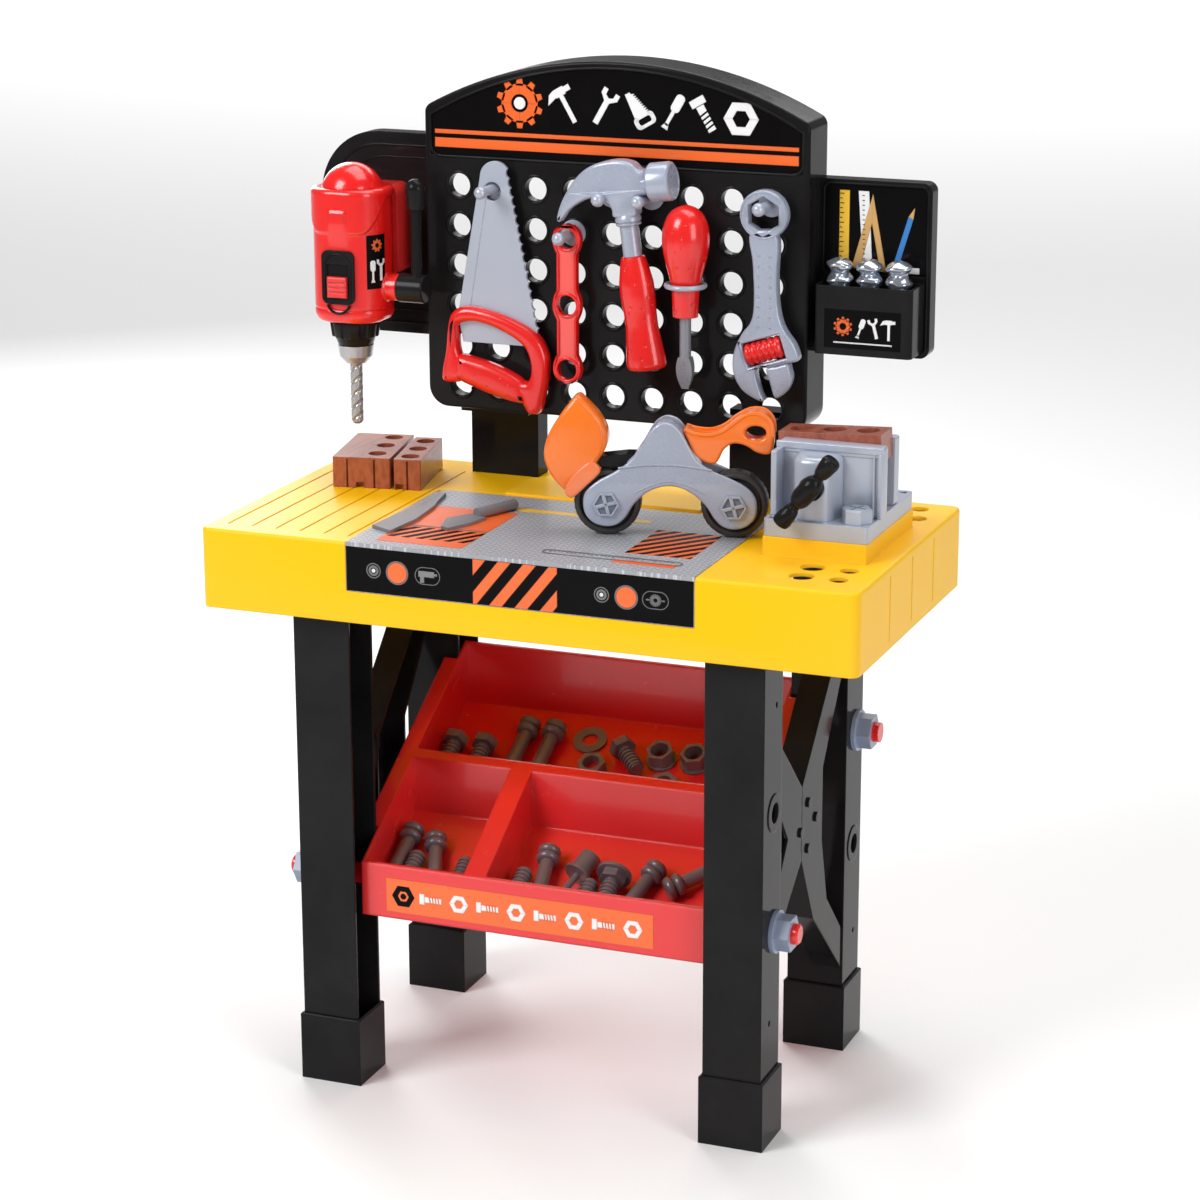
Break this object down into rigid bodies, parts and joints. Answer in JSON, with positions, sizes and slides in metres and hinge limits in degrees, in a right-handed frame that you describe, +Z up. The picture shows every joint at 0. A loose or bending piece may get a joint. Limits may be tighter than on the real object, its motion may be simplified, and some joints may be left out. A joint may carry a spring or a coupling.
{
  "type": "toy tool bench",
  "caption": "Toy workbench with braced legs, slanted fastener tray, pegboard of hanging tools, lever drill press, screw vise, building blocks and a small take-apart motorbike.",
  "frame": {"origin": "on the floor under the centre of the bench outline", "axes": "+Z up, +X to the right seen from the front, +Y from the front to the pegboard at the back"},
  "size_m": [0.57, 0.294, 0.856],
  "materials": {
    "yellow_plastic": "glossy moulded polypropylene",
    "black_plastic": "glossy moulded plastic",
    "red_plastic": "glossy moulded plastic",
    "red_tray": "glossy moulded plastic",
    "orange_plastic": "glossy moulded plastic",
    "silver_grey_plastic": "blue-grey plastic with a silky sheen",
    "fastener_grey": "dark grey-brown plastic",
    "nut_grey": "blue-grey plastic",
    "block_brown": "red-brown plastic with moulded grain",
    "printed_sheet": "printed plastic sheet",
    "silver_plated": "metallised plastic",
    "wheel_black": "satin plastic"
  },
  "bodies": {
    "bench": {"auger_bits": "silver_plated", "bench_blocks": "block_brown", "board_posts": "black_plastic", "brace_screws": "black_plastic", "clamped_block": "block_brown", "drill_dome": "red_plastic", "drill_mount": "red_plastic", "drill_shell": "red_plastic", "driver_ring": "silver_grey_plastic", "feet": "black_plastic", "leg_front_left": "black_plastic", "leg_front_right": "black_plastic", "leg_rear_left": "black_plastic", "leg_rear_right": "black_plastic", "loose_bolts": "fastener_grey", "loose_nuts": "fastener_grey", "loose_pins": "fastener_grey", "mat_bits": "silver_grey_plastic", "pegboard": "black_plastic", "printed_mat": "printed_sheet", "switch_plate": "black_plastic", "tool_bin": "black_plastic", "tool_pegs": "silver_grey_plastic", "tray": "red_tray", "tray_bolts": "red_plastic", "tray_nuts": "nut_grey", "vise_base": "silver_grey_plastic", "vise_bolts": "silver_grey_plastic", "vise_front_jaw": "silver_grey_plastic", "wing_left": "black_plastic", "wing_right": "black_plastic", "worktop": "yellow_plastic"},
    "drill_lever_body": {"drill_lever": "black_plastic", "drill_pinion": "black_plastic"},
    "drill_quill_body": {"drill_quill": "black_plastic"},
    "drill_spindle_body": {"drill_spindle": "black_plastic", "drill_chuck": "black_plastic", "chuck_collar": "silver_plated", "drill_bit": "silver_plated"},
    "drill_switch_body": {"drill_switch": "red_plastic"},
    "vise_screw_body": {"vise_screw": "black_plastic", "vise_handle": "black_plastic"},
    "vise_jaw_body": {"vise_rear_jaw": "silver_grey_plastic"},
    "saw": {"saw_blade": "silver_grey_plastic", "saw_handle": "red_plastic"},
    "hammer": {"hammer_head": "silver_grey_plastic", "hammer_grip": "red_plastic"},
    "spanner": {"link_spanner": "red_plastic"},
    "screwdriver": {"screwdriver_handle": "red_plastic", "screwdriver_blade": "silver_grey_plastic"},
    "wrench": {"wrench_body": "silver_grey_plastic"},
    "wrench_jaw_body": {"wrench_jaw": "silver_grey_plastic"},
    "wrench_worm_body": {"wrench_worm": "red_plastic"},
    "motorbike": {"bike_frame": "silver_grey_plastic", "bike_axles": "silver_grey_plastic", "bike_fork": "black_plastic", "bike_fairing": "orange_plastic", "bike_seat": "orange_plastic"},
    "front_wheel": {"bike_wheel_front": "wheel_black"},
    "rear_wheel": {"bike_wheel_rear": "wheel_black"}
  },
  "joints": [
    {"name": "drill_lever_swing", "type": "hinge", "parent": "bench", "child": "drill_lever_body", "pos_m": [-0.184, 0.04, 0.66], "axis": [1, 0, 0], "range_deg": [0, 100]},
    {"name": "drill_quill_feed", "type": "slide", "parent": "bench", "child": "drill_quill_body", "axis": [0, 0, -1], "range_m": [0, 0.0158]},
    {"name": "drill_spindle_spin", "type": "hinge", "parent": "drill_quill_body", "child": "drill_spindle_body", "pos_m": [-0.228, 0.04, 0.61], "axis": [0, 0, 1], "continuous": true},
    {"name": "drill_switch_slide", "type": "slide", "parent": "bench", "child": "drill_switch_body", "axis": [0, 0, 1], "range_m": [0, 0.01]},
    {"name": "vise_screw_turn", "type": "hinge", "parent": "bench", "child": "vise_screw_body", "pos_m": [0.218, -0.074, 0.543], "axis": [0, -1, 0], "range_deg": [0, 901]},
    {"name": "vise_jaw_open", "type": "slide", "parent": "bench", "child": "vise_jaw_body", "axis": [0, 1, 0], "range_m": [0, 0.015]},
    {"name": "saw_lift_off", "type": "slide", "parent": "bench", "child": "saw", "axis": [0, -1, 0], "range_m": [0, 0.042]},
    {"name": "hammer_lift_off", "type": "slide", "parent": "bench", "child": "hammer", "axis": [0, 0, 1], "range_m": [0, 0.008]},
    {"name": "spanner_lift_off", "type": "slide", "parent": "bench", "child": "spanner", "axis": [0, -1, 0], "range_m": [0, 0.042]},
    {"name": "screwdriver_turn", "type": "hinge", "parent": "bench", "child": "screwdriver", "pos_m": [0.073, 0.0435, 0.68], "axis": [0, 0, 1], "continuous": true},
    {"name": "wrench_lift_off", "type": "slide", "parent": "bench", "child": "wrench", "axis": [0, -1, 0], "range_m": [0, 0.042]},
    {"name": "wrench_worm_turn", "type": "hinge", "parent": "wrench", "child": "wrench_worm_body", "pos_m": [0.14, 0.052, 0.627], "axis": [0.9511, 0, 0.309], "range_deg": [-721, 721]},
    {"name": "wrench_jaw_slide", "type": "slide", "parent": "wrench", "child": "wrench_jaw_body", "axis": [0.9511, 0, 0.309], "range_m": [-0.008, 0.008]},
    {"name": "motorbike_lift", "type": "slide", "parent": "bench", "child": "motorbike", "axis": [0, 0, 1], "range_m": [0, 0.05]},
    {"name": "front_wheel_spin", "type": "hinge", "parent": "motorbike", "child": "front_wheel", "pos_m": [0.038, -0.043, 0.5134], "axis": [-0.2588, 0.9659, 0], "continuous": true},
    {"name": "rear_wheel_spin", "type": "hinge", "parent": "motorbike", "child": "rear_wheel", "pos_m": [0.13846, -0.01608, 0.5134], "axis": [-0.2588, 0.9659, 0], "continuous": true}
  ],
  "couplings": [
    {"joint": "drill_quill_feed", "follows": "drill_lever_swing", "m_per_rad": 0.009},
    {"joint": "vise_screw_turn", "follows": "vise_jaw_open", "rad_per_m": 1047.2},
    {"joint": "wrench_worm_turn", "follows": "wrench_jaw_slide", "rad_per_m": 1570.8}
  ]
}
